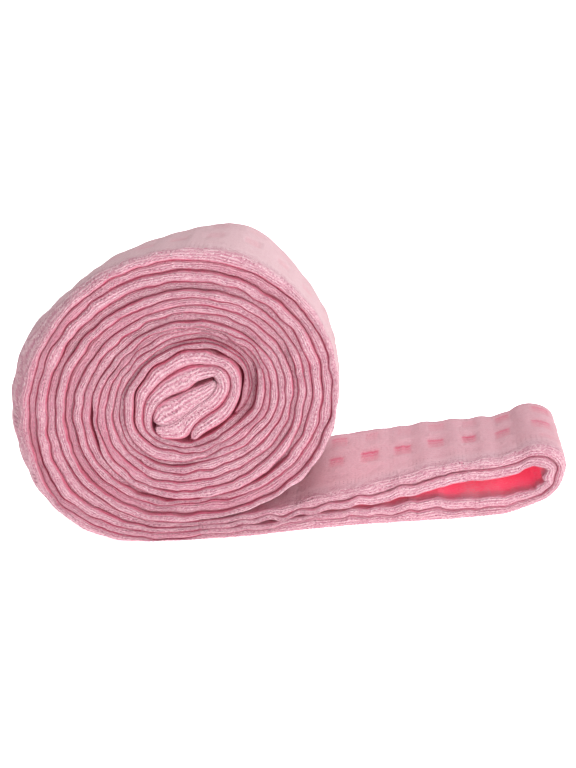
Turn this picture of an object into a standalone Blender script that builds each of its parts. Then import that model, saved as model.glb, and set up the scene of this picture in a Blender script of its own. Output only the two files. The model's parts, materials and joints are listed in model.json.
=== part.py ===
"""A robe tie, folded in half end to end and rolled up from its two free ends.

The tie is a long flat tube: a face ply and a back ply of soft waffle cotton, sewn along both
long edges and turned right side out. Folded in half it makes two runs. The lower run is the
outer one on the roll, the upper run lies on it, and each has its two plies, so a turn of the
roll is four walls thick. The roll stands on its rim with its spiral to the front (-Y), and the
fold is left over as a short tail that lies on the surface to the right (+X).

Lengths below are in millimetres and angles in degrees. The mesh is written in metres.
"""

import math

import bmesh
import bpy

MM = 0.001

# Driving dimensions
TIE_WIDTH = 50.0  # across the flat tube, from front to back
SEAM_GAP = 0.3  # between two plies, and between two stretches of one ply
ROLL_HEIGHT = 45.0  # from the surface to the middle of the roll
ROLL_X, ROLL_Y = -31.0, -8.5  # the middle of the roll, from the middle of the whole
RIPPLE = 0.3  # half the height of the waffle's ripples
RIPPLES_PER_TURN = 30
RIPPLE_LENGTH = 10.4  # along the tail
CALM_FOOT = 30  # degrees on each side of the foot where the ripples are pressed flat
TAIL_SWING = 10.5  # degrees that the tail swings to the back
SWING_START = 24.0  # length over which it starts to swing
SHOULDER = 1.6  # the outermost ply stands this proud of its own edges
FAR_TAPER, FAR_LEAN = 0.025, 0.030  # how much smaller the roll is at the back: overall, and at left

# The roll, a row for each direction, clockwise from its foot as the front shows it: the radius
# of the outer face on each turn.
ROLL_ROWS = (
    # from foot, turn 1, turn 2, turn 3, turn 4
    (0, 45.2, 38.4, 30.8, 19.2),
    (30, 50.4, 41.7, 32.6, 22.2),
    (60, 55.4, 44.5, 33.3, 23.9),
    (90, 55.0, 43.4, 32.0, 22.8),
    (120, 52.0, 40.6, 28.6, 21.1),
    (150, 50.7, 37.9, 27.6, 20.5),
    (180, 50.6, 37.7, 27.7, 21.3),
    (210, 50.5, 38.4, 28.5, 22.4),
    (240, 49.5, 38.1, 29.3, 21.6),
    (270, 46.2, 35.7, 27.2, 17.2),
    (300, 42.9, 33.1, 22.0, 12.1),
    (330, 39.2, 31.0, 18.9, 10.9),
)
CORE_FOOT = 11.5  # the radius where the fourth turn comes back to the foot

# How a turn's thickness is shared among its four walls, from outside to inside.
SHARES_FIRST_TURN = (
    # from foot, face|back of the lower run, lower|upper run, back|face of the upper run
    (0, 0.29, 0.57, 0.79),
    (30, 0.31, 0.54, 0.77),
    (60, 0.18, 0.34, 0.67),
    (90, 0.27, 0.44, 0.76),
    (150, 0.24, 0.46, 0.75),
    (210, 0.26, 0.56, 0.82),
    (270, 0.19, 0.49, 0.80),
    (330, 0.23, 0.55, 0.82),
    (360, 0.25, 0.50, 0.75),
)
SHARES = (0.25, 0.50, 0.75)

# The tail, a row for each place: heights above the surface.
TAIL_ROWS = (
    # from roll, underside, lower seam, gap's floor, its roof, upper seam, top, back edge higher
    (0, 0.0, 2.0, 3.9, 3.9, 5.3, 6.6, 0.0),
    (18, 0.5, 2.9, 4.7, 4.8, 6.6, 8.3, 0.0),
    (34, 0.9, 4.3, 6.0, 6.1, 7.9, 10.9, 3.4),
    (50, 0.8, 4.5, 7.0, 7.1, 9.9, 13.0, 4.8),
    (64, 0.5, 4.1, 7.4, 8.4, 12.4, 15.6, 3.0),
    (72, 0.3, 3.8, 7.4, 10.2, 14.0, 17.2, 1.4),
    (80, 0.0, 3.4, 7.2, 11.5, 15.3, 18.5, 0.0),
    (88, 0.0, 3.3, 7.0, 12.2, 16.0, 19.2, 0.0),
    (98, 0.2, 3.4, 7.0, 12.9, 16.8, 20.0, 0.0),
    (104, 1.3, 4.4, 7.9, 14.0, 17.9, 21.1, 0.0),
)

# The fold at the tail's end, a row for each direction round its middle, from down to up.
FOLD_X, FOLD_HEIGHT = 104.0, 11.0
FOLD_ROWS = (
    # from down, outer face, seam, inner face
    (0, 9.7, 6.6, 3.1),
    (30, 9.2, 6.4, 3.4),
    (60, 11.1, 8.2, 4.8),
    (90, 13.7, 10.9, 7.0),
    (120, 15.9, 12.4, 8.6),
    (150, 13.2, 9.8, 5.4),
    (180, 10.1, 6.9, 3.0),
)

# The lower run's end lies under the last turn, a row for each direction from the foot.
LOWER_END_ROWS = (
    # from foot, inner radius
    (0, 15.2),
    (30, 16.6),
    (60, 19.2),
    (90, 18.8),
    (120, 17.6),
    (150, 17.2),
    (180, 18.5),
    (210, 20.0),
)
LOWER_END_AT = 210

# The upper run's last turn closes round a slit. Inner radius as above, up to the slit's end.
UPPER_END_ROWS = (
    # from foot, seam, inner radius
    (0, 13.4, 11.8),
    (30, 14.6, 12.7),
    (60, 16.6, 14.7),
    (90, 15.2, 11.6),
    (120, 13.0, 8.3),
    (150, 12.2, 7.2),
    (180, 13.2, 7.6),
    (198, 14.3, 9.2),
)
# Then it bends round the slit's end and comes back as a thick tongue, a row for each place.
TONGUE_ROWS = (
    # base x, base height, direction from down, hem, seam, outer face
    (6.9, 8.7, -165.0, 0.6, 4.6, 8.0),
    (6.9, 8.7, -135.0, 0.6, 4.9, 8.6),
    (6.9, 8.7, -105.0, 0.6, 5.4, 9.0),
    (6.9, 8.6, -75.0, 0.8, 6.0, 9.4),
    (6.2, 8.4, -50.0, 2.4, 7.4, 11.2),
    (3.0, 7.2, -40.0, 4.4, 9.4, 14.0),
    (-1.5, 5.4, -40.0, 5.4, 10.2, 15.4),
    (-6.0, 2.8, -38.0, 5.4, 10.2, 15.2),
    (-9.4, 0.4, -34.0, 5.2, 9.4, 13.4),
    (-12.3, -2.8, -30.0, 2.8, 5.2, 9.0),
)

# The plies, from the outside of the roll to its inside. Colours are linear.
PLIES = ("lower_face_ply", "lower_back_ply", "upper_back_ply", "upper_face_ply")
COTTON = {
    "lower_face_ply": (0.83, 0.36, 0.44),
    "lower_back_ply": (0.88, 0.45, 0.52),
    "upper_back_ply": (0.86, 0.40, 0.48),
    "upper_face_ply": (0.90, 0.48, 0.55),
}
TURN_STEP = 6  # degrees between two sections of the roll
TAIL_STEP = RIPPLE_LENGTH / 4


def between(rows, at, column):
    """The value of a table's column at this place, on a smooth curve through its rows."""
    places = [row[0] for row in rows]
    values = [row[column] for row in rows]
    if at <= places[0]:
        return values[0]
    if at >= places[-1]:
        return values[-1]
    i = max(k for k, place in enumerate(places) if place <= at)
    before, after = max(i - 1, 0), min(i + 2, len(rows) - 1)
    span = places[i + 1] - places[i]
    t = (at - places[i]) / span
    slope_in = (values[i + 1] - values[before]) / (places[i + 1] - places[before]) * span
    slope_out = (values[after] - values[i]) / (places[after] - places[i]) * span
    a, b = values[i], values[i + 1]
    return (
        (2 * t**3 - 3 * t**2 + 1) * a
        + (t**3 - 2 * t**2 + t) * slope_in
        + (3 * t**2 - 2 * t**3) * b
        + (t**3 - t**2) * slope_out
    )


def spiral_rows():
    """The roll's table as one list: the angle wound since the foot, and the outer radius."""
    rows = []
    for turn in range(4):
        for row in ROLL_ROWS:
            rows.append((360 * turn + row[0], row[turn + 1]))
    rows.append((360 * 4, CORE_FOOT))
    return tuple(rows)


SPIRAL = spiral_rows()


def spiral_radius(wound):
    """The outer radius of the cloth after this many degrees, rippled, and flat at the foot."""
    radius = between(SPIRAL, wound, 1)
    angle = math.radians(wound)
    ripple = RIPPLE * radius / ROLL_HEIGHT * math.cos(RIPPLES_PER_TURN * angle)
    radius += ripple * min(1.0, wound / CALM_FOOT, abs(wound - 360) / CALM_FOOT)
    if wound < 90:
        radius = min(radius, (ROLL_HEIGHT + SEAM_GAP / 2) / max(math.cos(angle), 0.1))
    return radius


def turn_faces(wound):
    """The radii of the five faces of a turn's four walls, from outside to inside."""
    outer, inner = spiral_radius(wound), spiral_radius(wound + 360)
    if wound <= 360:
        shares = [between(SHARES_FIRST_TURN, wound, k) for k in (1, 2, 3)]
    else:
        shares = SHARES
    return [outer, *[outer + share * (inner - outer) for share in shares], inner]


def station(base, direction, faces, back_scale=1.0, swing=0.0, shoulder=0.0):
    """A place along the cloth: a ray across its walls, and where each face lies on the ray."""
    return {
        "base": base,
        "direction": direction,
        "faces": faces,
        "back_scale": back_scale,
        "swing": swing,
        "shoulder": shoulder,
    }


def ray(from_foot):
    """The direction that lies this many degrees clockwise from straight down."""
    angle = math.radians(from_foot)
    return (-math.sin(angle), -math.cos(angle))


def back_scale(from_foot):
    """How much smaller the roll is at its back, in this direction."""
    angle = math.radians(from_foot)
    return 1 - FAR_TAPER * (1 - math.cos(angle)) - FAR_LEAN * max(math.sin(angle), 0.0)


def roll_station(wound, faces, shoulder=0.0):
    return station((0.0, ROLL_HEIGHT), ray(wound), faces, back_scale(wound), 0.0, shoulder)


def swing_at(x):
    """How far the tail has swung to the back at this distance from the roll's middle."""
    slope = math.tan(math.radians(TAIL_SWING))
    if x <= 0:
        return 0.0
    if x < SWING_START:
        return slope * x * x / (2 * SWING_START)
    return slope * (x - SWING_START / 2)


def tail_station(x, columns):
    """A place along the tail, whose faces are the table's heights, seen from the roll's middle."""
    ripple = RIPPLE * math.cos(2 * math.pi * x / RIPPLE_LENGTH)
    ripple *= min(1.0, x / RIPPLE_LENGTH, (FOLD_X - x) / RIPPLE_LENGTH)
    heights = [between(TAIL_ROWS, x, column) for column in columns]
    heights = [height + ripple if height > 1.5 else height for height in heights]
    if columns[0] == 1:
        heights[0] -= SEAM_GAP / 2
    faces = [ROLL_HEIGHT - height for height in heights]
    lift = between(TAIL_ROWS, x, 7) if columns[0] != 1 else 0.0
    scale = 1 - lift / faces[0]
    return station((x, ROLL_HEIGHT), (0.0, -1.0), faces, scale, swing_at(x))


def wall_section(place, outer, inner, whole):
    """The outline of one wall across its width, as points (x, y, z)."""
    front, back = -TIE_WIDTH / 2, TIE_WIDTH / 2
    thick = outer - inner
    middle = (outer + inner) / 2
    round_off = 0.45 * thick
    outline = [(front, middle), (front + round_off, outer)]
    if whole:
        for share in (0.12, 0.5, 0.88):
            outline.append((front + share * TIE_WIDTH, outer + place["shoulder"]))
    outline += [(back - round_off, outer), (back, middle)]
    outline += [(back - round_off, inner), (front + round_off, inner)]
    points = []
    for y, radius in outline:
        share = (y - front) / TIE_WIDTH
        radius *= 1 + (place["back_scale"] - 1) * share
        x = place["base"][0] + radius * place["direction"][0]
        z = place["base"][1] + radius * place["direction"][1]
        points.append((x + ROLL_X, y + ROLL_Y + place["swing"], max(z, 0.0)))
    return points


def trimmed(places, start, end):
    """The places with the first and last moved in by half a seam gap, towards their neighbours."""
    places = [dict(place) for place in places]
    for there, index, other in ((start, 0, 1), (end, -1, -2)):
        if not there:
            continue
        edge, next_one = places[index], places[other]
        a, b = reach(edge), reach(next_one)
        share = min(SEAM_GAP / 2 / max(math.dist(a, b), SEAM_GAP), 0.4)
        for key in ("base", "direction", "faces"):
            edge[key] = [p + (q - p) * share for p, q in zip(edge[key], next_one[key])]
        for key in ("back_scale", "swing", "shoulder"):
            edge[key] += (next_one[key] - edge[key]) * share
    return places


def reach(place):
    """Where a place's innermost face lies, seen from the front."""
    return [b + d * place["faces"][-1] for b, d in zip(place["base"], place["direction"])]


def cotton(name, colour):
    material = bpy.data.materials.new(name + "_cotton")
    material.use_nodes = True
    shader = material.node_tree.nodes["Principled BSDF"]
    shader.inputs["Base Color"].default_value = (*colour, 1.0)
    shader.inputs["Roughness"].default_value = 0.92
    shader.inputs["Metallic"].default_value = 0.0
    return material


def wall(name, places, layer, colour, whole=False, start=True, end=True):
    """One wall of cloth: layer's outer and inner faces at each place, swept along the places."""
    mesh = bpy.data.meshes.new(name)
    form = bmesh.new()
    rings = []
    for place in trimmed(places, start, end):
        outer = place["faces"][layer] - SEAM_GAP / 2
        inner = place["faces"][layer + 1] + SEAM_GAP / 2
        section = wall_section(place, outer, inner, whole)
        rings.append([form.verts.new([value * MM for value in point]) for point in section])
    for a, b in zip(rings, rings[1:]):
        for i in range(len(a)):
            j = (i + 1) % len(a)
            form.faces.new((a[i], a[j], b[j], b[i]))
    form.faces.new(list(reversed(rings[0])))
    form.faces.new(rings[-1])
    bmesh.ops.recalc_face_normals(form, faces=form.faces)
    bmesh.ops.triangulate(form, faces=form.faces)
    form.to_mesh(mesh)
    form.free()
    mesh.shade_smooth()
    mesh.set_sharp_from_angle(angle=math.radians(40))
    mesh.materials.append(cotton(name, colour))
    piece = bpy.data.objects.new(name, mesh)
    bpy.context.scene.collection.objects.link(piece)
    return piece


def steps(first, last, step):
    """Evenly spaced values from first to last, about a step apart."""
    count = max(round((last - first) / step), 1)
    return [first + (last - first) * k / count for k in range(count + 1)]


def make_turns():
    for turn in range(3):
        places = []
        for wound in steps(360 * turn, 360 * (turn + 1), TURN_STEP):
            fade = min(1.0, wound / 60, (330 - wound) / 60 if turn == 0 else 0.0)
            shoulder = SHOULDER * max(fade, 0.0) if turn == 0 else 0.0
            places.append(roll_station(wound, turn_faces(wound), shoulder))
        for layer, ply in enumerate(PLIES):
            outermost = turn == 0 and layer == 0
            wall(f"{ply}_turn_{turn + 1}", places, layer, COTTON[ply], whole=outermost)


def make_tail():
    places = steps(0, FOLD_X, TAIL_STEP)
    lower = [tail_station(x, (1, 2, 3)) for x in places]
    upper = [tail_station(x, (4, 5, 6)) for x in places]
    wall("lower_face_ply_tail", lower, 0, COTTON["lower_face_ply"])
    wall("lower_back_ply_tail", lower, 1, COTTON["lower_back_ply"])
    for place in upper:
        place["faces"] = place["faces"][:3]
    wall("upper_back_ply_tail", upper, 0, COTTON["upper_back_ply"])
    wall("upper_face_ply_tail", upper, 1, COTTON["upper_face_ply"])


def make_fold():
    """The two plies go round the fold: the face ply outside, and the back ply inside it."""
    places = []
    for from_down in steps(0, 180, 15):
        faces = [between(FOLD_ROWS, from_down, column) for column in (1, 2, 3)]
        direction = ray(-from_down)
        x = FOLD_X
        places.append(station((x, FOLD_HEIGHT), direction, faces, swing=swing_at(x)))
    wall("face_ply_fold", places, 0, COTTON["lower_face_ply"])
    wall("back_ply_fold", places, 1, COTTON["lower_back_ply"])


def make_lower_end():
    places = []
    for from_foot in steps(0, LOWER_END_AT, TURN_STEP):
        wound = 360 * 3 + from_foot
        outer, inner = spiral_radius(wound), between(LOWER_END_ROWS, from_foot, 1)
        places.append(roll_station(wound, [outer, (outer + inner) / 2, inner]))
    wall("lower_face_ply_end", places, 0, COTTON["lower_face_ply"])
    wall("lower_back_ply_end", places, 1, COTTON["lower_back_ply"])


def make_upper_end():
    """The last turn of the upper run, round the slit, and its hemmed end inside the tongue."""
    places = []
    last = UPPER_END_ROWS[-1][0]
    for from_foot in steps(0, last, TURN_STEP):
        outer = between(LOWER_END_ROWS, from_foot, 1)
        seam, inner = (between(UPPER_END_ROWS, from_foot, column) for column in (1, 2))
        wound = 360 * 3 + from_foot
        places.append(roll_station(wound, [outer, seam, inner, inner]))
    for x, height, from_down, hem, seam, outer in TONGUE_ROWS:
        base = (x, ROLL_HEIGHT + height)
        scale = back_scale(from_down)
        places.append(station(base, ray(from_down), [outer, seam, hem, 0.3], scale))
    turned = len(TONGUE_ROWS)
    wall("upper_back_ply_end", places[:-1], 0, COTTON["upper_back_ply"])
    wall("upper_face_ply_end", places, 1, COTTON["upper_face_ply"])
    wall("upper_end_hem", places[4 - turned :], 2, COTTON["upper_face_ply"], start=False)


def main():
    for item in list(bpy.data.objects):
        bpy.data.objects.remove(item, do_unlink=True)
    make_turns()
    make_tail()
    make_fold()
    make_lower_end()
    make_upper_end()


main()
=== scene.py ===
# %% [markdown]
# # A rolled robe tie in waffle cotton
#
# The real tie is a flat tube: a face ply and a back ply of one soft pink cloth, sewn along both
# long edges. It is folded end to end and rolled up from its two free ends, so every layer of the
# roll shows the sewn edge of a ply as a soft pale lip. This lesson builds each ply as one long
# strip that follows the whole path: round the fold, along the tail and into the roll.
#
# Lengths are in millimetres and angles in degrees, and meshes are written in metres.

# %% Load the fixed frame
import json
import math

import bpy
import numpy as np
from mathutils import Matrix, Vector

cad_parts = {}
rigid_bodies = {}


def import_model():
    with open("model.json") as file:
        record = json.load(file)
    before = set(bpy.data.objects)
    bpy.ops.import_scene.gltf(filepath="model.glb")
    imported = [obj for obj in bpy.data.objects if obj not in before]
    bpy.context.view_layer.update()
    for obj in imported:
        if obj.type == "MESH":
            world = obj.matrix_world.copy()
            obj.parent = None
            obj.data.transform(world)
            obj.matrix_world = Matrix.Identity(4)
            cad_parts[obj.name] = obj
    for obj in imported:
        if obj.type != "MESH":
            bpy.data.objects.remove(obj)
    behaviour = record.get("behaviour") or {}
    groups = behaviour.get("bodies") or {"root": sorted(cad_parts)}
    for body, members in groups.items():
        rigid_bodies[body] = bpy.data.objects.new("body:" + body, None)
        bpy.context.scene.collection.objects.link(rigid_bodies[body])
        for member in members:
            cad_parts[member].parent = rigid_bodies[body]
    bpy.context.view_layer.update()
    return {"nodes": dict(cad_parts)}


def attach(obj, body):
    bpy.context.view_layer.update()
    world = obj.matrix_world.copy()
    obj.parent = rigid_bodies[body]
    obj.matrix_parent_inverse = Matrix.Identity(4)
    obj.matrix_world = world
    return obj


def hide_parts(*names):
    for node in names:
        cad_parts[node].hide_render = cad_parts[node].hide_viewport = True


for thing in list(bpy.data.objects):
    bpy.data.objects.remove(thing)
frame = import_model()
MM = 0.001
print("solids:", len(frame["nodes"]))

# %% [markdown]
# ## Where the cloth lies
#
# The solids already say where each turn of the roll lies. The same short tables are written here
# in more detail, because the looks need the plies' uneven edges. A row is a place, and a smooth
# curve runs through the rows. The roll's rows go clockwise from its foot, as seen from the front.

# %% Main sizes and the roll's outlines
TIE_WIDTH = 50.0
ROLL_HEIGHT = 45.0  # from the surface to the middle of the roll
ROLL_X, ROLL_Y = -31.0, -8.5  # the middle of the roll
TAIL_SWING = 10.5  # how far the tail swings to the back, in degrees
SWING_START = 24.0  # over this length it starts to swing
FAR_TAPER, FAR_LEAN = 0.025, 0.030  # the roll is smaller at its back, most of all at the left
CORE_FOOT = 11.5  # the radius where the fourth turn would end
FAR_FOLD = 0.02  # the fold is lower at its back
FOLD_X, FOLD_HEIGHT = 104.0, 11.0
LOWER_END_AT = 284  # where the lower run stops on the last turn
TURNS = 3

ROLL_ROWS = (
    # from foot, turn 1, turn 2, turn 3, turn 4: radius of the outer face
    (0, 45.2, 38.4, 30.8, 19.2),
    (30, 51.7, 41.9, 32.6, 22.2),
    (45, 55.0, 43.4, 33.1, 23.2),
    (60, 56.0, 44.6, 33.3, 23.9),
    (90, 55.0, 43.4, 32.0, 22.8),
    (120, 52.0, 40.6, 28.6, 21.1),
    (150, 50.7, 37.9, 27.6, 20.5),
    (180, 50.6, 37.7, 27.7, 21.3),
    (210, 50.5, 38.4, 28.5, 22.4),
    (240, 49.5, 38.1, 29.3, 21.6),
    (270, 46.2, 35.7, 27.2, 17.2),
    (300, 42.9, 33.1, 22.0, 12.1),
    (330, 39.2, 31.0, 18.9, 10.9),
)
SHARE_ROWS = (
    # wound since the foot, seams between the four plies as shares of a turn's thickness
    (0, 0.29, 0.57, 0.79),
    (30, 0.31, 0.54, 0.77),
    (60, 0.18, 0.34, 0.67),
    (90, 0.27, 0.44, 0.76),
    (150, 0.24, 0.46, 0.75),
    (210, 0.26, 0.56, 0.82),
    (270, 0.18, 0.48, 0.79),
    (300, 0.20, 0.57, 0.88),
    (330, 0.22, 0.65, 0.92),
    (360, 0.31, 0.79, 0.93),
    (390, 0.30, 0.60, 0.84),
    (430, 0.26, 0.52, 0.76),
    (540, 0.23, 0.50, 0.76),
    (660, 0.27, 0.48, 0.74),
    (780, 0.24, 0.52, 0.77),
    (900, 0.26, 0.49, 0.73),
    (1080, 0.25, 0.50, 0.75),
)
TAIL_ROWS = (
    # from roll, underside, lower seam, gap's floor, its roof, upper seam, top, back edge higher
    (0, 0.0, 2.0, 3.9, 3.9, 5.4, 6.6, 0.0),
    (18, 0.5, 2.9, 4.7, 4.8, 6.6, 8.3, 0.0),
    (34, 0.9, 4.3, 6.0, 6.1, 7.9, 10.9, 4.6),
    (50, 0.8, 4.5, 7.0, 7.1, 9.9, 13.0, 5.2),
    (64, 0.5, 4.1, 7.4, 8.4, 12.4, 15.6, 3.2),
    (72, 0.3, 3.8, 7.4, 10.2, 14.0, 17.2, 1.8),
    (80, 0.0, 3.4, 7.2, 11.5, 15.3, 18.5, 0.4),
    (88, 0.0, 3.3, 7.0, 12.2, 16.0, 19.2, -0.2),
    (98, 0.2, 3.4, 7.0, 12.9, 16.8, 20.0, -0.8),
    (104, 1.3, 4.4, 7.9, 14.0, 17.9, 21.1, -1.0),
)
FOLD_ROWS = (
    # from down, outer face, seam, inner face: distance from the fold's middle
    (0, 9.7, 6.6, 3.1),
    (30, 9.2, 6.4, 3.4),
    (60, 11.1, 8.2, 4.8),
    (90, 13.7, 10.9, 7.0),
    (120, 16.5, 12.7, 8.6),
    (150, 14.0, 10.1, 5.4),
    (180, 10.1, 6.9, 3.0),
)
SLACK_ROWS = (
    # from foot, how far the outermost turn bulges between its edges, how much larger its back is
    (0, 0.0, 0.0),
    (30, 2.2, 0.0),
    (60, 5.0, 0.0),
    (90, 5.4, 0.0),
    (110, 5.2, 0.0),
    (130, 2.4, -1.2),
    (150, 1.4, -1.6),
    (170, 0.2, -2.0),
    (182, 0.4, -0.8),
    (196, 0.8, 1.6),
    (206, 0.6, 1.4),
    (218, 0.2, -0.8),
    (232, 0.0, -2.2),
    (250, 0.0, -1.6),
    (275, 0.4, 0.4),
    (300, 0.8, 0.8),
    (360, 0.0, 0.0),
)
LOWER_END_ROWS = (
    # from foot, inner radius
    (0, 15.2),
    (30, 16.6),
    (60, 19.2),
    (90, 18.8),
    (120, 17.6),
    (150, 17.2),
    (180, 18.5),
    (210, 20.0),
    (225, 20.2),
    (240, 19.3),
    (255, 17.1),
    (270, 14.9),
    (285, 13.2),
)
UPPER_END_ROWS = (
    # from foot, seam, inner radius
    (0, 13.4, 11.8),
    (30, 14.6, 12.7),
    (60, 16.6, 14.7),
    (90, 15.2, 10.7),
    (120, 13.0, 6.9),
    (150, 12.2, 5.2),
    (180, 13.2, 6.0),
    (198, 14.3, 8.5),
)
TONGUE_ROWS = (
    # base x, base height, direction from down, hem, seam, outer face
    (6.9, 8.7, -165.0, 0.6, 4.6, 8.0),
    (6.9, 8.7, -135.0, 0.6, 4.9, 8.6),
    (6.9, 8.7, -105.0, 0.6, 5.4, 9.0),
    (6.9, 8.6, -75.0, 0.8, 6.0, 9.4),
    (6.2, 8.4, -50.0, 2.6, 7.4, 11.2),
    (3.0, 7.2, -40.0, 4.9, 9.6, 14.0),
    (-1.5, 5.4, -40.0, 6.1, 10.6, 15.4),
    (-6.0, 2.8, -38.0, 6.6, 11.2, 15.2),
    (-9.4, 0.4, -34.0, 6.6, 12.9, 15.3),
    (-12.2, -1.9, -30.0, 4.8, 10.2, 12.6),
    (-13.8, -4.4, -24.0, 1.8, 6.2, 7.0),
)
TONGUE_PLACES = [(number, *row) for number, row in enumerate(TONGUE_ROWS)]
print("table rows:", len(ROLL_ROWS), "round the roll,", len(TAIL_ROWS), "along the tail")

# %% [markdown]
# ## Smooth curves and soft unevenness
#
# `curve` reads a table at any place. `waver` gives the slow, uneven changes that handled cloth
# has: random heights every few millimetres, joined smoothly. Its seed is fixed, so two plies that
# meet can read the same values and never cross.

# %% Curves through the tables
def curve(rows, column, at):
    """A table's column at these places, on a smooth curve through its rows."""
    places = np.array([row[0] for row in rows], float)
    values = np.array([row[column] for row in rows], float)
    slopes = np.empty_like(values)
    slopes[1:-1] = (values[2:] - values[:-2]) / (places[2:] - places[:-2])
    slopes[0] = (values[1] - values[0]) / (places[1] - places[0])
    slopes[-1] = (values[-1] - values[-2]) / (places[-1] - places[-2])
    at = np.clip(at, places[0], places[-1])
    i = np.clip(np.searchsorted(places, at, side="right") - 1, 0, len(places) - 2)
    span = places[i + 1] - places[i]
    t = (at - places[i]) / span
    start, end = values[i], values[i + 1]
    bend_in, bend_out = slopes[i] * span, slopes[i + 1] * span
    blend = 3 * t**2 - 2 * t**3
    return (1 - blend) * start + blend * end + (t**3 - 2 * t**2 + t) * bend_in + (t**3 - t**2) * bend_out


def ease(low, high, value):
    """0 below low, 1 above high, and a soft step between."""
    t = np.clip((value - low) / (high - low), 0, 1)
    return t * t * (3 - 2 * t)


def waver(along, length, seed):
    """Uneven values from -1 to 1 that change about once in this length."""
    dice = np.random.default_rng(seed)
    knots = dice.uniform(-1, 1, 4096)
    place = np.asarray(along, float) / length + 2048
    i = np.floor(place).astype(int)
    t = ease(0, 1, place - i)
    return knots[i % 4096] * (1 - t) + knots[(i + 1) % 4096] * t


print("waver at 0, 1 and 2 mm:", waver(np.arange(3.0), 4.0, 1).round(2))

# %% [markdown]
# ## The roll as nested boundaries
#
# A turn is four plies thick, so five boundaries bound its plies, and the fifth is the first of the
# next turn. Waffle cloth puckers every 10 mm or so, and the layers nest: both plies at a boundary
# follow its ripple. Ripples are placed by the length of cloth wound, not by angle, so they drift
# from turn to turn as they do on the real roll.

# %% Boundaries of the plies in the roll
RIPPLE_LENGTH = 10.4
RIPPLE_HEIGHT = (0.17, 0.30, 0.28, 0.30)  # at the turn's outside, then at its three seams
CALM_FOOT = 30.0  # degrees beside the foot where the weight presses the ripples flat

SPIRAL = tuple((360 * turn + row[0], row[turn + 1]) for turn in range(4) for row in ROLL_ROWS)
SPIRAL += ((360 * 4, CORE_FOOT),)


def plain_boundary(wound, seam):
    """Radius of a boundary before it ripples: seam 0 is the turn's outside, 4 its inside."""
    outer = curve(SPIRAL, 1, wound)
    if seam == 0:
        return outer
    inner = curve(SPIRAL, 1, wound + 360)
    return outer + (inner - outer) * (curve(SHARE_ROWS, seam, wound) if seam < 4 else 1.0)


def rippled(length, height, seed):
    """The ripple along a boundary, from the length of cloth that lies behind it."""
    drift = 2.2 * waver(length, 45.0, seed)
    swell = 0.55 + 0.75 * waver(length, 22.0, seed + 1)
    big = np.sin(2 * math.pi * length / RIPPLE_LENGTH + drift) * swell
    return height * (big + 1.25 * waver(length, 4.6, seed + 2) + 0.75 * waver(length, 2.2, seed + 3))


WOUND_STEP = 0.5  # degrees between two places where the length of cloth is known
FINE_WOUND = np.arange(0, 360 * 4 + 1, WOUND_STEP)
WOUND_LENGTH = [
    np.concatenate(([0], np.cumsum(plain_boundary(FINE_WOUND, seam)[:-1] * math.radians(WOUND_STEP))))
    for seam in range(4)
]


def boundary(wound, seam):
    """Radius of a rippled boundary. The inside of a turn is the outside of the next."""
    if seam == 4:
        return boundary(wound + 360, 0)
    length = np.interp(wound, FINE_WOUND, WOUND_LENGTH[seam])
    ripple = rippled(length, RIPPLE_HEIGHT[seam], 40 + 5 * seam)
    calm = np.clip(wound / CALM_FOOT, 0, 1)
    if seam == 0:
        calm = calm * np.clip(np.abs(wound - 360) / CALM_FOOT, 0, 1)
    radius = plain_boundary(wound, seam) + ripple * calm
    if seam == 0:
        flat = ROLL_HEIGHT / np.maximum(np.cos(np.radians(np.minimum(wound, 80))), 0.1)
        radius = np.where(wound < 80, np.minimum(radius, flat), radius)
    return radius


print("cloth in three turns, outside:", round(float(np.interp(1080, FINE_WOUND, WOUND_LENGTH[0]))), "mm")

# %% [markdown]
# ## A path for each run of the tie
#
# Each run starts at the middle of the fold, so both runs of a ply meet there. A path is a list of
# stations. At each one, corner points say where the faces of the run's plies lie at the front edge
# and at the back edge. Later a rounded wall is drawn between two of these faces.

# %% Stations along the fold, the tail and the roll
def ray(from_foot):
    angle = np.radians(from_foot)
    return np.stack([-np.sin(angle), -np.cos(angle)], axis=-1)


def back_scale(from_foot):
    angle = np.radians(from_foot)
    return 1 - FAR_TAPER * (1 - np.cos(angle)) - FAR_LEAN * np.maximum(np.sin(angle), 0)


def swing_at(x):
    slope = math.tan(math.radians(TAIL_SWING))
    curved = slope * x * x / (2 * SWING_START)
    return np.where(x <= 0, 0.0, np.where(x < SWING_START, curved, slope * (x - SWING_START / 2)))


def stations(base, direction, faces, scale, swing, kind, place):
    """Corner points (station, face, front or back edge, x and z) and what is known of each place."""
    base = np.broadcast_to(base, direction.shape)
    front = base[:, None] + direction[:, None] * faces[..., None]
    count = len(direction)
    back = base[:, None] + direction[:, None] * (faces * np.reshape(scale, (count, -1)))[..., None]
    return {
        "corners": np.stack([front, back], axis=2),
        "swing": np.broadcast_to(swing, (count,)).astype(float),
        "kind": np.full(count, kind, float),
        "place": np.broadcast_to(place, (count,)).astype(float),
    }


FOLD, TAIL, ROLL, CORE, TONGUE = range(5)  # the kinds of stretch along a run
FOLD_PUCKERS = 13  # as many as would fill a whole circle
TAIL_RIPPLE = (0.0, 0.42, 0.34, 0.34, 0.45, 0.26)  # its height at each column of the tail's rows


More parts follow.
